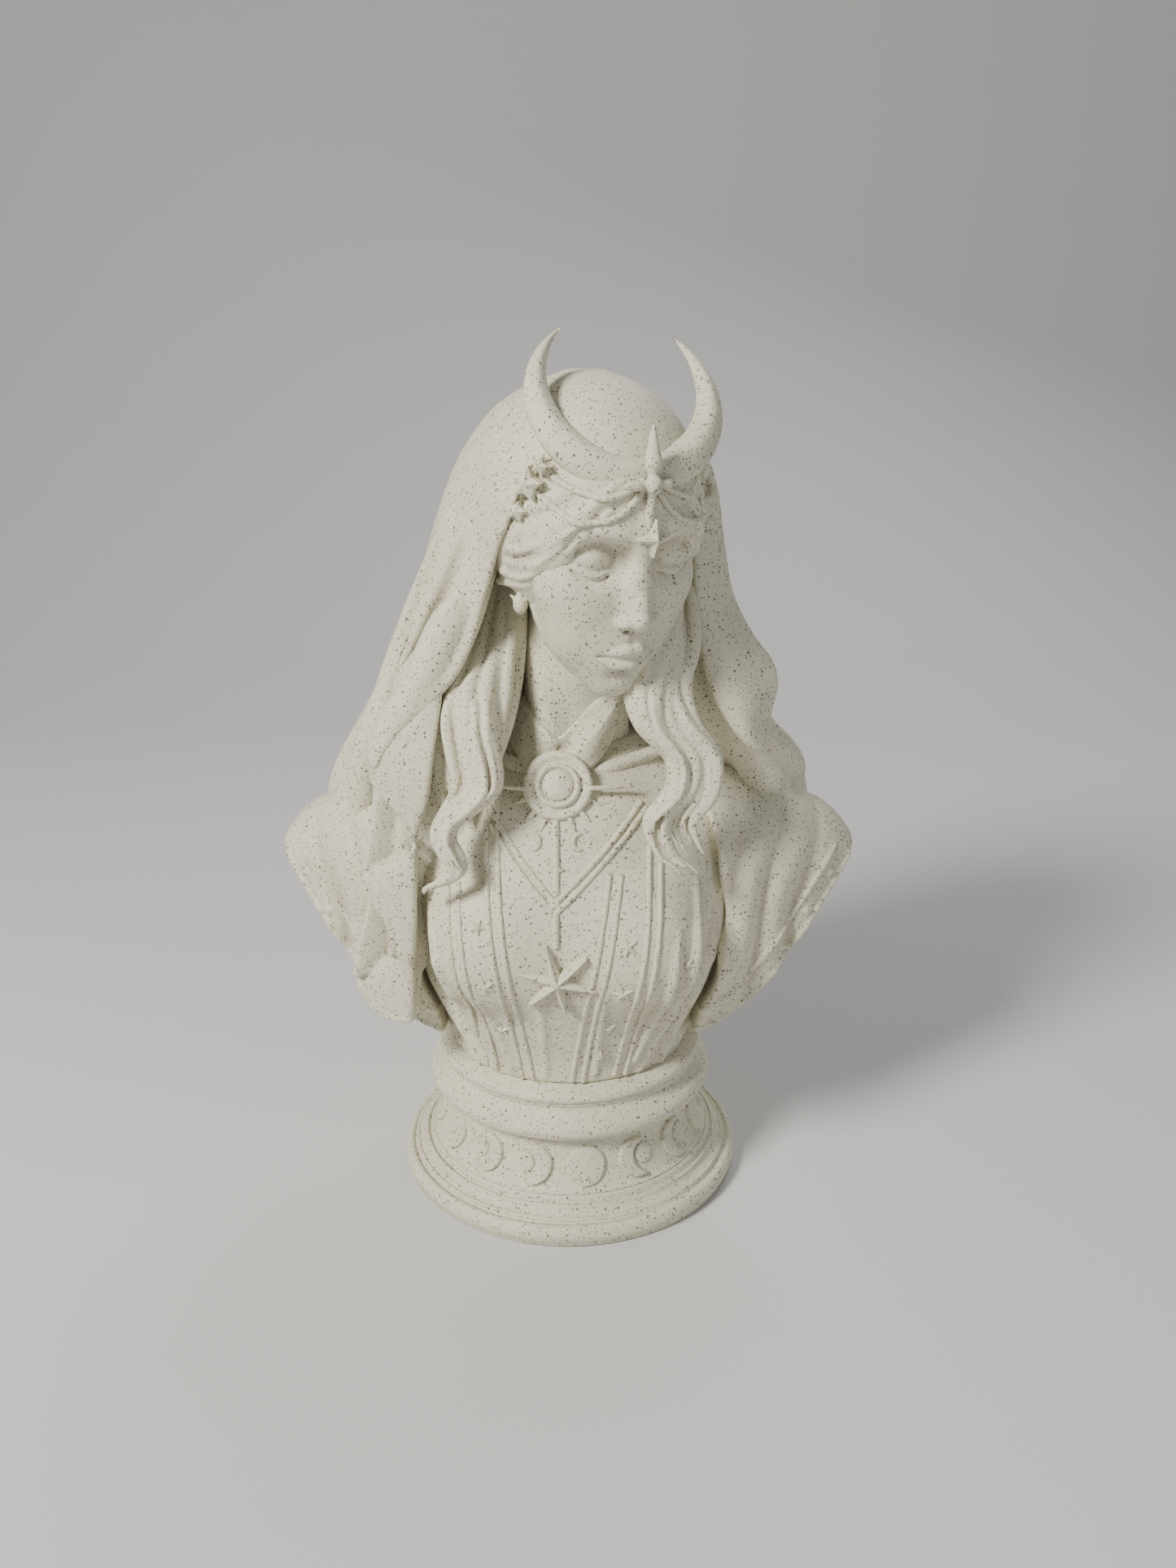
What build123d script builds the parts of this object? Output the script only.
from build123d import *

import os
from math import atan2, cos, degrees, hypot, pi, radians, sin, sqrt

# A veiled moon-priestess bust on a round moulded socle, made as pegged and cemented pieces.
#
# Frame: millimetres, +Z up, the origin at the centre of the socle's underside. The bust faces -Y,
# and its head is turned towards +X and bowed. "Left" and "right" in the names are as seen from the front,
# so left is -X.

os.makedirs("parts", exist_ok=True)

# ---- driving dimensions -------------------------------------------------------------------------
FOOT_R = 43.0  # widest radius of the socle
FOOT_TOP = 9.6  # top of the foot moulding
FRIEZE_TOP = 23.2  # top of the hollow band that carries the moon phases
SOCLE_TOP = 35.4  # seat of the bust on the socle
SEAT_R = 29.6  # radius of the robe where it meets the socle

NECK_BASE = 112.0  # height of the pit of the neck
MANTLE_HALF_WIDTH = 70.0  # reach of each shoulder
MANTLE_LEVEL = 84.0  # height of the widest line of the shoulders
MANTLE_DEPTH = 27.0  # half depth of the shoulders
HEAD_CENTRE = Vector(6, -19, 166.5)
HEAD_TURN = 27.0  # degrees that the head turns towards +X
HEAD_BOW = 18.0  # degrees that the head bows

CRESCENT_CENTRE = Vector(11.85, -31.7, 190.2)
CRESCENT_R = 20.2  # radius of the crescent's outer edge
CRESCENT_BREADTH = 7.6  # breadth of the crescent at its middle
CRESCENT_TIP = 36.0  # degrees from the crescent's top to each horn tip
CRESCENT_TURN = 17.0  # degrees that it faces towards +X
CRESCENT_LEAN = 36.0  # degrees that it lies back over the brow
CRESCENT_ROLL = -5.0

BROOCH_R = 7.75
RELIEF = 0.9  # how far the robe's ornament stands out
LEAF_THICK = 1.8  # how far the collar leaves stand out from the neck and robe
FRIEZE_RELIEF = 0.8
PHASE_COUNT = 16
PHASE_R = 4.7
FULL_MOON_AT = 7.5  # degrees that the full moon sits towards +X of the front

DOWEL_R = 4.0
DOWEL_BOTTOM, DOWEL_TOP = 14.0, 62.0


# ---- helpers ------------------------------------------------------------------------------------
def save(shape, name):
    """Writes one node, a solid or a group of separate solids, and hands it back."""
    solids = [s for s in shape.solids() if s.volume > 0.02]
    kept = solids[0] if len(solids) == 1 else Compound(children=[copy_of(s) for s in solids])
    export_step(kept, f"parts/{name}.step")
    return Compound(children=[copy_of(s) for s in solids])


def copy_of(solid):
    """A loose copy of a solid, so that it can join another group."""
    return Solid(solid.wrapped)


def turned(points):
    """A solid of revolution about Z from (radius, height) points, closed along the axis."""
    outline = Polyline([(0, points[0][1]), *points, (0, points[-1][1])], close=True)
    return revolve(Plane.XZ * make_face(outline), Axis.Z)


def ellipsoid(centre, radii, turn=0.0, bow=0.0):
    """An ellipsoid bowed about X and then turned about Z."""
    ball = scale(Sphere(1), by=radii)
    return Pos(*centre) * Rot(0, 0, turn) * Rot(bow, 0, 0) * ball


def stack(sections):
    """A smooth body through level ellipses, each given as (height, centre x, centre y, half x, half y)."""
    return loft([Pos(cx, cy, z) * Ellipse(a, b) for z, cx, cy, a, b in sections])


def grown(sections, by):
    """The same sections, wider by a margin all round."""
    return [(z, cx, cy, a + by, b + by) for z, cx, cy, a, b in sections]


def star_points(count, outer, inner, first=90.0, long_first=1.0):
    """Corners of a star. The first ray may be longer than the others."""
    corners = []
    for i in range(2 * count):
        angle = radians(first + i * 180 / count)
        reach = inner if i % 2 else outer * (long_first if i == 0 else 1.0)
        corners.append((reach * cos(angle), reach * sin(angle)))
    return corners


def star_face(*args, **kwargs):
    return make_face(Polyline(star_points(*args, **kwargs), close=True))


def strip(points, width):
    """A flat strip of even width along a line of points, in the front plane (x, z)."""
    face = None
    for (x0, z0), (x1, z1) in zip(points, points[1:]):
        run, rise = x1 - x0, z1 - z0
        turn = Rot(0, 0, degrees(atan2(rise, run)))
        bar = Pos((x0 + x1) / 2, (z0 + z1) / 2) * turn * Rectangle(hypot(run, rise) + width, width)
        face = bar if face is None else face + bar
    return face


def moon_face(radius, shift, bite):
    """A crescent: a disc less a disc of its own kind, shifted sideways."""
    return Circle(radius) - Pos(shift, 0) * Circle(bite)


def on_front(face):
    """A face drawn in (x, z), pushed back through the whole front of the bust."""
    return extrude(Plane(origin=(0, -60, 0), x_dir=(1, 0, 0), z_dir=(0, -1, 0)) * face, amount=-62)


# ---- frames -------------------------------------------------------------------------------------
TURN, BOW = radians(HEAD_TURN), radians(HEAD_BOW)
FACING = Vector(sin(TURN) * cos(BOW), -cos(TURN) * cos(BOW), -sin(BOW))
ACROSS = Vector(cos(TURN), sin(TURN), 0)
UPWARD = FACING.cross(ACROSS)


def on_head(across, forward, up):
    """A point given in the head's own directions, from the head's centre."""
    return HEAD_CENTRE + ACROSS * across + FACING * forward + UPWARD * up


def head_plane(across, forward, up, lean=0.0):
    """A plane that faces the way the head does, leaning forward by some degrees."""
    normal = FACING * cos(radians(lean)) - UPWARD * sin(radians(lean))
    return Plane(origin=on_head(across, forward, up), x_dir=ACROSS, z_dir=normal)


# ---- the socle ----------------------------------------------------------------------------------
FRIEZE_PROFILE = [
    (35.4, FOOT_TOP), (34.4, 10.6), (33.0, 13.0), (31.8, 16.4), (31.2, 20.4), (31.4, 22.2),
    (32.6, FRIEZE_TOP)]
PHASE_LEVEL = 15.7  # height of the moons' centres


def make_dowel():
    return Pos(0, 0, (DOWEL_BOTTOM + DOWEL_TOP) / 2) * Cylinder(DOWEL_R, DOWEL_TOP - DOWEL_BOTTOM)


def make_foot():
    """A heavy rounded foot, a quirk, a hollow slope and a double fillet."""
    low = [(42.0, 0), (42.7, 0.8), (FOOT_R, 2.6), (42.8, 4.4), (42.0, 5.7), (41.0, 6.0)]
    slope = [(40.8, 5.6), (39.6, 6.0), (38.4, 6.9), (37.9, 7.7), (37.4, 8.0)]
    fillets = [(37.2, 8.7), (36.6, 8.8), (36.3, FOOT_TOP)]
    return turned(low + slope + fillets)


def make_frieze(bore):
    return turned(FRIEZE_PROFILE) - bore


def make_collar(bore):
    """The ring under the robe: a torus, a hollow and a smaller torus."""
    torus = [(33.0, FRIEZE_TOP), (34.6, 23.7), (35.5, 25.2), (35.5, 26.9), (34.6, 28.4), (33.6, 29.0)]
    hollow = [(33.4, 29.6), (32.4, 30.4), (31.9, 31.4), (31.9, 32.0)]
    bead = [(32.6, 32.5), (32.8, 33.4), (32.3, 34.6), (31.2, SOCLE_TOP)]
    return turned(torus + hollow + bead) - bore


def make_phases():
    """Sixteen moons in relief round the frieze, from full at the front to new at the back."""
    grown_profile = [(r + FRIEZE_RELIEF, z) for r, z in FRIEZE_PROFILE[1:-1]]
    shell = turned(grown_profile) - turned(FRIEZE_PROFILE)
    moons = []
    for i in range(PHASE_COUNT):
        step = i if i <= PHASE_COUNT // 2 else i - PHASE_COUNT
        face = Circle(PHASE_R)
        if step:
            shift = PHASE_R * (0.95 - 0.09 * abs(step)) * (1 if step > 0 else -1)
            face = moon_face(PHASE_R, shift, PHASE_R * 0.86)
        angle = FULL_MOON_AT + step * 360 / PHASE_COUNT
        facing = Plane(origin=(0, 0, PHASE_LEVEL), x_dir=(1, 0, 0), z_dir=(0, -1, 0))
        block = Rot(0, 0, angle) * extrude(facing * face, amount=45)
        moons += (shell & block).solids()
    return Compound(children=[copy_of(m) for m in moons if m.volume > 1])


# ---- the body -----------------------------------------------------------------------------------
ROBE_SECTIONS = [
    (SOCLE_TOP, 0, 0, SEAT_R, 28.6),
    (50, 0, -2, 31.5, 30.0),
    (66, 0, -4, 36.5, 33.5),
    (82, 0, -4, 41.0, 31.5),
    (98, 0, -2, 40.0, 26.0),
    (108, 0, -2, 29.0, 20.5),
    (116, 0, -3, 17.0, 15.0),
]
# the cloak's outline (x, z), cut below by a slope
MANTLE_UNDERSIDE = [(0.05, 37.0), (31.0, 37.0), (70.0, 86.0), (95, 115), (0.05, 115)]
MANTLE_OPENS = 20.0  # how far from the middle each front edge of the cloak lies
MANTLE_BACK = 8.0  # the two halves meet behind this


def make_robe(dowel):
    return stack(ROBE_SECTIONS) - dowel


def make_mantles(robe):
    """The cloak over each upper arm, cut off below by a slope. Left first."""
    above = Pos(0, 0, MANTLE_LEVEL) * Box(300, 300, 100, align=(Align.CENTER, Align.CENTER, Align.MIN))
    below = Pos(0, 0, MANTLE_LEVEL) * Box(300, 300, 100, align=(Align.CENTER, Align.CENTER, Align.MAX))
    upper = ellipsoid((0, 0, MANTLE_LEVEL), (MANTLE_HALF_WIDTH, MANTLE_DEPTH, 27.0)) & above
    lower = ellipsoid((0, 0, MANTLE_LEVEL), (MANTLE_HALF_WIDTH, MANTLE_DEPTH, 62.0)) & below
    halves = []
    for side in (-1, 1):
        outline = Polyline([(side * x, z) for x, z in MANTLE_UNDERSIDE], close=True)
        wedge = extrude(Plane.XZ * make_face(outline), amount=60, both=True)
        front = Pos(0, MANTLE_BACK - 50, 80) * Box(2 * MANTLE_OPENS, 100, 160)
        halves.append(((upper + lower) & wedge) - front - robe)
    return halves


NECK_SECTIONS = [
    (NECK_BASE - 2, 0, -6, 15.5, 13.5), (124, 1, -7, 13.4, 12.6), (136, 3, -10, 13.0, 12.4),
    (150, 4, -13, 13.5, 13)]


def make_neck(robe):
    return stack(NECK_SECTIONS) - robe


def make_head():
    """A cranium and a jaw, without features."""
    skull = ellipsoid(on_head(0, 0, 3), (19.6, 25.0, 22.5), HEAD_TURN, HEAD_BOW)
    jaw = ellipsoid(on_head(0, 11.5, -15), (14.5, 15.0, 18.0), HEAD_TURN, HEAD_BOW)
    return skull + jaw


def head_part(margin):
    """The dressed hair's outer form, larger by a margin."""
    radii = (23.5 + margin, 26.5 + margin, 25.0 + margin)
    return ellipsoid(on_head(0, -2.5, 1.5), radii, HEAD_TURN, HEAD_BOW)


def make_hair_cap(head, neck):
    """The dressed hair under the veil: a cap round the skull, open at the face."""
    face_way = head_plane(0, 8, -14) * Box(32, 52, 60, align=(Align.CENTER, Align.CENTER, Align.MIN))
    return head_part(0) - face_way - head - neck


VEIL_SECTIONS = [
    (50, 0, 8, 55, 28.0),
    (64, 0, 8, 57, 30.0),
    (80, 0, 7, 59, 31.5),
    (96, 0, 6, 60, 32.0),
    (106, 0.5, 6, 57, 31.5),
    (118, 0.5, 5, 50.0, 30.5),
    (133, 1.5, 1, 43.5, 30.5),
    (150, 2, -2, 37.0, 31.5),
    (167, 2.5, -5, 31.0, 31.0),
    (179, 3, -8, 26.5, 27.0),
    (188, 3.5, -11, 19.5, 20.0),
    (193, 4, -13, 12.0, 12.5),
    (195.6, 4, -13.5, 5.0, 5.0),
]
VEIL_THICK = 2.4
VEIL_HEM = (98.0, 46.0)  # height of the hem beside the shoulders, degrees that it slopes down to the back
FACE_OPENING = [
    (-7, 177), (3, 180), (18, 181), (29, 178), (33, 165), (37, 148), (44, 132), (46, 122), (44, 108),
    (44, 50),
    (-38, 50), (-40, 112), (-37, 124), (-29, 136), (-20, 150), (-14, 164)]
OPENING_BACK = -7.0  # how far back the opening cuts


def make_veil(*inside):
    """A hood, open at the face, that spreads over the shoulders and hangs lower behind."""
    brow = head_part(2.0)
    outer = stack(VEIL_SECTIONS) + brow
    t = VEIL_THICK
    inner = stack([(z - t, cx, cy, rx - t, ry - t) for z, cx, cy, rx, ry in VEIL_SECTIONS])
    plane = Plane(origin=(0, -80, 0), x_dir=(1, 0, 0), z_dir=(0, -1, 0))
    opening = extrude(plane * make_face(Polyline(FACE_OPENING, close=True)), amount=-(80 + OPENING_BACK))
    hem, slope = VEIL_HEM
    block = Box(300, 400, 200, align=(Align.CENTER, Align.CENTER, Align.MAX))
    below = Pos(0, -5, hem) * Rot(-slope, 0, 0) * block
    hood = outer - inner - head_part(0) - opening - below
    for piece in inside:
        hood = hood - piece
    return Compound(children=[copy_of(max(hood.solids(), key=lambda s: s.volume))])


def make_veil_fall(*behind):
    """The edge of the veil that hangs in folds in front of one shoulder."""
    sections = [
        (47.5, -45.5, -20.5, 6.5, 2.2),
        (72, -46.5, -22.5, 8.0, 3.4),
        (95, -43.0, -22.5, 9.0, 3.8),
        (115, -38.5, -20.5, 8.0, 3.8),
        (131, -33.0, -20.5, 4.0, 2.4),
    ]
    fall = stack(sections)
    for piece in behind:
        fall = fall - piece
    return fall


def make_lock(points, half_width, half_depth):
    """One long lock of hair: level ovals stacked along a winding line of (x, y, z) points."""
    return stack([(z, x, y, half_width * w, half_depth * w) for x, y, z, w in points])


LEFT_LOCKS = [
    [(-27, -35.0, 84, 0.5), (-23, -35.2, 96, 0.9), (-22, -34.0, 108, 1.0), (-17, -32.0, 120, 1.0),
     (-18, -29.5, 134, 0.9), (-15, -26, 147, 0.6)],
]
RIGHT_LOCKS = [
    [(28, -35.0, 84, 0.5), (26, -35.2, 96, 0.9), (24, -34.0, 108, 1.0), (27, -31.5, 119, 1.0),
     (22, -30.0, 132, 0.9), (24, -25, 146, 0.6)],
]


def make_locks(lines, half_width, half_depth, *around):
    locks = []
    for line in lines:
        lock = make_lock(line, half_width, half_depth)
        for piece in around:
            lock = lock - piece
        locks += lock.solids()
    biggest = max(s.volume for s in locks)
    return Compound(children=[copy_of(s) for s in locks if s.volume > 0.2 * biggest])


# ---- the head's ornaments -----------------------------------------------------------------------
def crescent_frame():
    """The crescent's own plane: x across, y up towards the gap between its horns."""
    turn, lean, roll = radians(CRESCENT_TURN), radians(CRESCENT_LEAN), radians(CRESCENT_ROLL)
    level = Vector(cos(turn), sin(turn), 0)
    rise = Vector(-sin(turn) * sin(lean), cos(turn) * sin(lean), cos(lean))
    across = level * cos(roll) + rise * sin(roll)
    return Plane(origin=CRESCENT_CENTRE, x_dir=across, z_dir=level.cross(rise))


def make_crescent(*behind):
    """A crescent with its horns up, round in section and drawn out to two points."""
    frame = crescent_frame()
    sections = []
    count = 12
    for i in range(count + 1):
        share = i / count
        angle = radians(90 + CRESCENT_TIP + share * (360 - 2 * CRESCENT_TIP))
        half = max(0.45, CRESCENT_BREADTH / 2 * sin(pi * share) ** 0.75)
        middle = CRESCENT_R - half
        at = frame.from_local_coords(Vector(middle * cos(angle), middle * sin(angle), 0))
        radial = frame.x_dir * cos(angle) + frame.y_dir * sin(angle)
        section = Plane(origin=at, x_dir=radial, z_dir=frame.z_dir.cross(radial))
        sections.append(section * Ellipse(half, max(0.44, 0.85 * half)))
    crescent = loft(sections)
    for piece in behind:
        crescent = crescent - piece
    return Compound(children=[copy_of(max(crescent.solids(), key=lambda s: s.volume))])


def make_crest_star(crescent, *behind):
    """The long four-rayed star over the crescent's middle, with a drop down the forehead."""
    plane = head_plane(-1.0, 19.5, 18.8)
    rays = extrude(plane * star_face(4, 5.2, 1.1, long_first=2.1), amount=7.0)
    drop = extrude(head_plane(-0.4, 21.5, 14.0) * Rectangle(1.5, 10.0), amount=4.4)
    star = rays + drop
    for piece in (crescent, *behind):
        star = star - piece
    return Compound(children=[copy_of(max(star.solids(), key=lambda s: s.volume))])


def make_forehead_star(*behind):
    """The small four-rayed star that ends the drop."""
    star = extrude(head_plane(0.4, 22.5, 6.6) * star_face(4, 3.3, 0.9, long_first=1.2), amount=3.6)
    for piece in behind:
        star = star - piece
    return star


def brow_point(across, up):
    """A point on the face of the head or of its dressed hair, whichever is in front."""
    skin = 25.0 * sqrt(max(0, 1 - (across / 19.6) ** 2 - ((up - 3) / 22.5) ** 2))
    hair = -2.5 + 26.5 * sqrt(max(0, 1 - (across / 23.5) ** 2 - ((up - 1.5) / 25.0) ** 2))
    return on_head(across, max(skin, hair) + 0.3, up)


CHAINS = [  # (across, up) along each swag
    [(-1.6, 15.0), (-7.0, 8.6), (-14.0, 6.2), (-20.2, 11.0)],
    [(-2.0, 17.4), (-8.0, 14.0), (-14.0, 12.6), (-19.6, 14.0)],
    [(1.2, 15.0), (7.0, 8.6), (14.0, 6.2), (20.2, 10.0)],
    [(1.4, 17.4), (8.0, 14.0), (14.0, 12.6), (19.6, 13.4)],
]


def make_chains(*behind):
    """Two swags of chain from the crest star to each temple."""
    swags = []
    for points in CHAINS:
        path = Spline([brow_point(across, up) for across, up in points])
        swag = sweep(Plane(origin=path @ 0, z_dir=path % 0) * Circle(0.75), path)
        for piece in behind:
            swag = swag - piece
        swags.append(max(swag.solids(), key=lambda s: s.volume))
    return Compound(children=[copy_of(s) for s in swags])


TEMPLES = [(-20.2, 9.0, 12.0), (23.6, 3.5, 11.0)]  # (across, forward, up) of each rosette


def make_temple_stars(*behind):
    """A five-rayed rosette at each temple, where the chains meet the veil."""
    rosettes = []
    for across, forward, up in TEMPLES:
        side = 1 if across > 0 else -1
        outward = ACROSS * 0.8 * side + FACING * 0.6
        along = ACROSS * 0.6 - FACING * 0.8 * side
        plane = Plane(origin=on_head(across, forward, up) - outward * 1.2, x_dir=along, z_dir=outward)
        rosette = extrude(plane * star_face(5, 3.8, 1.8), amount=3.6)
        for piece in behind:
            rosette = rosette - piece
        rosettes.append(copy_of(max(rosette.solids(), key=lambda s: s.volume)))
    return Compound(children=rosettes)


def make_ear_drop(*behind):
    """A small hanging drop under the hair at the near ear."""
    at = on_head(-17.5, 5.0, -12.5)
    drop = Pos(*at) * Cone(0.8, 1.9, 5.0, align=(Align.CENTER, Align.CENTER, Align.MAX))
    for piece in behind:
        drop = drop - piece
    return drop


# ---- the breast's ornaments ---------------------------------------------------------------------
BROOCH_NORMAL = (0, -cos(radians(22)), sin(radians(22)))
BROOCH_PLANE = Plane(origin=(-2, -24.6, 108.6), x_dir=(1, 0, 0), z_dir=BROOCH_NORMAL)


def make_brooch(*behind):
    """A round brooch: a flat rim round a raised ring."""
    profile = [(BROOCH_R - 0.5, -3.0), (BROOCH_R, -2.4), (BROOCH_R, 1.4), (7.2, 2.2), (5.6, 2.2), (5.2, 1.6),
               (4.9, 2.6), (4.2, 2.8), (3.7, 2.2)]
    disc = BROOCH_PLANE * turned(profile)
    for piece in behind:
        disc = disc - piece
    return disc


def make_cabochon():
    """The domed stone at the brooch's centre."""
    dome = scale(Sphere(1), by=(3.5, 3.5, 1.3)) & Pos(0, 0, 5) * Box(10, 10, 10)
    return BROOCH_PLANE * Pos(0, 0, 2.2) * dome


LEAF_TOP = [(-2.1, 117.8), (-6.2, 120.6), (-10.6, 125.4), (-15.2, 127.2)]  # (x, z) of the upper edge
LEAF_UNDER = [(-15.2, 127.2), (-16.6, 120.0), (-12.0, 112.6), (-2.1, 110.0)]
LEAF_MIDDLE = -2.1


def make_collar_leaf(side, shell, *around):
    """One of the two leaf-shaped lapels that rise from the brooch to the neck."""
    edges = []
    for line in (LEAF_TOP, LEAF_UNDER):
        edges.append(Spline([(LEAF_MIDDLE + side * (LEAF_MIDDLE - x), z) for x, z in line]))
    outline = edges[0] + edges[1] + Line(edges[1] @ 1, edges[0] @ 0)
    leaf = shell & on_front(make_face(outline))
    for piece in around:
        leaf = leaf - piece
    return Compound(children=[copy_of(max(leaf.solids(), key=lambda s: s.volume))])


def make_relief(shell, *faces):
    """Flat outlines pushed onto the robe, kept where they stand out from it."""
    made = []
    for face in faces:
        made += [s for s in (shell & on_front(face)).solids() if s.volume > 0.3]
    return Compound(children=[copy_of(s) for s in made])


def less(shape, *others):
    """A group with other pieces taken away from each of its solids."""
    left = []
    for solid in shape.solids():
        body = solid
        for other in others:
            body = body - other
        left += [s for s in body.solids() if s.volume > 0.3]
    return Compound(children=[copy_of(s) for s in left])


SEAMS = [  # (x, z) of the top and bottom of each seam band of the robe
    ((-16.9, 100.0), (-10.2, 38.0)),
    ((-25.0, 86.0), (-18.4, 38.0)),
    ((10.8, 90.0), (2.4, 38.0)),
    ((19.4, 92.0), (12.2, 38.0)),
]
NECKLINE = [(-18.5, 103.0), (-2.6, 83.5), (17.0, 103.0)]
MOTIFS = [(14.5, 72.0), (11.5, 57.0), (-15.5, 62.0), (7.0, 45.0)]


# ---- assembly -----------------------------------------------------------------------------------
def main():
    dowel = save(make_dowel(), "dowel")
    save(make_foot(), "socle_foot")
    save(make_frieze(dowel), "socle_frieze")
    save(make_collar(dowel), "socle_collar")
    save(make_phases(), "moon_phases")

    robe = save(make_robe(dowel), "robe")
    left_mantle, right_mantle = make_mantles(robe)
    mantle_left = save(left_mantle, "mantle_left")
    mantle_right = save(right_mantle, "mantle_right")
    neck = make_neck(robe)
    head = save(make_head(), "head")
    neck = save(neck - head, "neck")
    hair = save(make_hair_cap(head, neck), "hair_cap")

    seam_shell = stack(grown(ROBE_SECTIONS, RELIEF)) - stack(ROBE_SECTIONS)
    star_shell = stack(grown(ROBE_SECTIONS, 2.2)) - stack(ROBE_SECTIONS)
    robe_star = on_front(Pos(-2.2, 67.0) * star_face(6, 8.4, 2.6, first=105))
    pendant_face = Pos(-2.2, 67.0) * star_face(6, 8.4, 2.6, first=105)
    pendant = save(make_relief(star_shell, pendant_face), "star_pendant")
    under_locks = (robe, neck, head, hair)
    locks_left = save(make_locks(LEFT_LOCKS, 6.5, 3.4, *under_locks, mantle_left), "hair_lock_left")
    locks_right = save(make_locks(RIGHT_LOCKS, 6.5, 3.4, *under_locks, mantle_right), "hair_lock_right")

    brooch = save(make_brooch(robe, neck), "brooch")
    save(make_cabochon() - brooch, "cabochon")
    leaves = []
    collar_shell = stack(grown(NECK_SECTIONS, LEAF_THICK)) + stack(grown(ROBE_SECTIONS, LEAF_THICK))
    for side, name in ((-1, "collar_leaf_left"), (1, "collar_leaf_right")):
        beside = (robe, neck, brooch, head, locks_left, locks_right, *leaves)
        leaf = make_collar_leaf(side, collar_shell, *beside)
        leaves.append(save(leaf, name))

    around = (brooch, locks_left, locks_right, *leaves, mantle_left, mantle_right)
    neckline = save(less(make_relief(seam_shell, strip(NECKLINE, 1.8)), *around), "neckline_band")
    spike = Pos(-2.4, 94.5) * Rectangle(0.9, 15) + Pos(-2.4, 92.0) * star_face(4, 2.2, 0.8)
    moons = [Pos(-2.4 + s * 4.4, 98.5) * Rot(0, 0, 90) * moon_face(1.7, 0.8, 1.5) for s in (-1, 1)]
    save(less(make_relief(seam_shell, spike, *moons), *around, neckline), "chest_spike")
    around = (*around, neckline, robe_star)
    seams = save(less(make_relief(seam_shell, *[strip(s, 1.5) for s in SEAMS]), *around), "robe_seams")
    motifs = [Pos(x, z) * star_face(5, 2.0, 0.9) for x, z in MOTIFS]
    save(less(make_relief(seam_shell, *motifs), *around, seams), "robe_motifs")

    crescent = save(make_crescent(head, hair), "crescent")
    crest = save(make_crest_star(crescent, head, hair), "crest_star")
    brow_star = save(make_forehead_star(head, hair, crest), "forehead_star")
    chains = save(make_chains(head, hair, crescent, crest, brow_star), "brow_chains")
    temples = save(make_temple_stars(head, hair, chains, crescent), "temple_stars")
    drop = save(make_ear_drop(head, hair, locks_left, neck), "ear_drop")

    hood_contents = (robe, mantle_left, mantle_right, head, neck, hair, crescent, chains, temples, drop,
                     locks_left, locks_right)
    veil = save(make_veil(*hood_contents), "veil")
    save(make_veil_fall(robe, mantle_left, veil, locks_left), "veil_fall")


main()
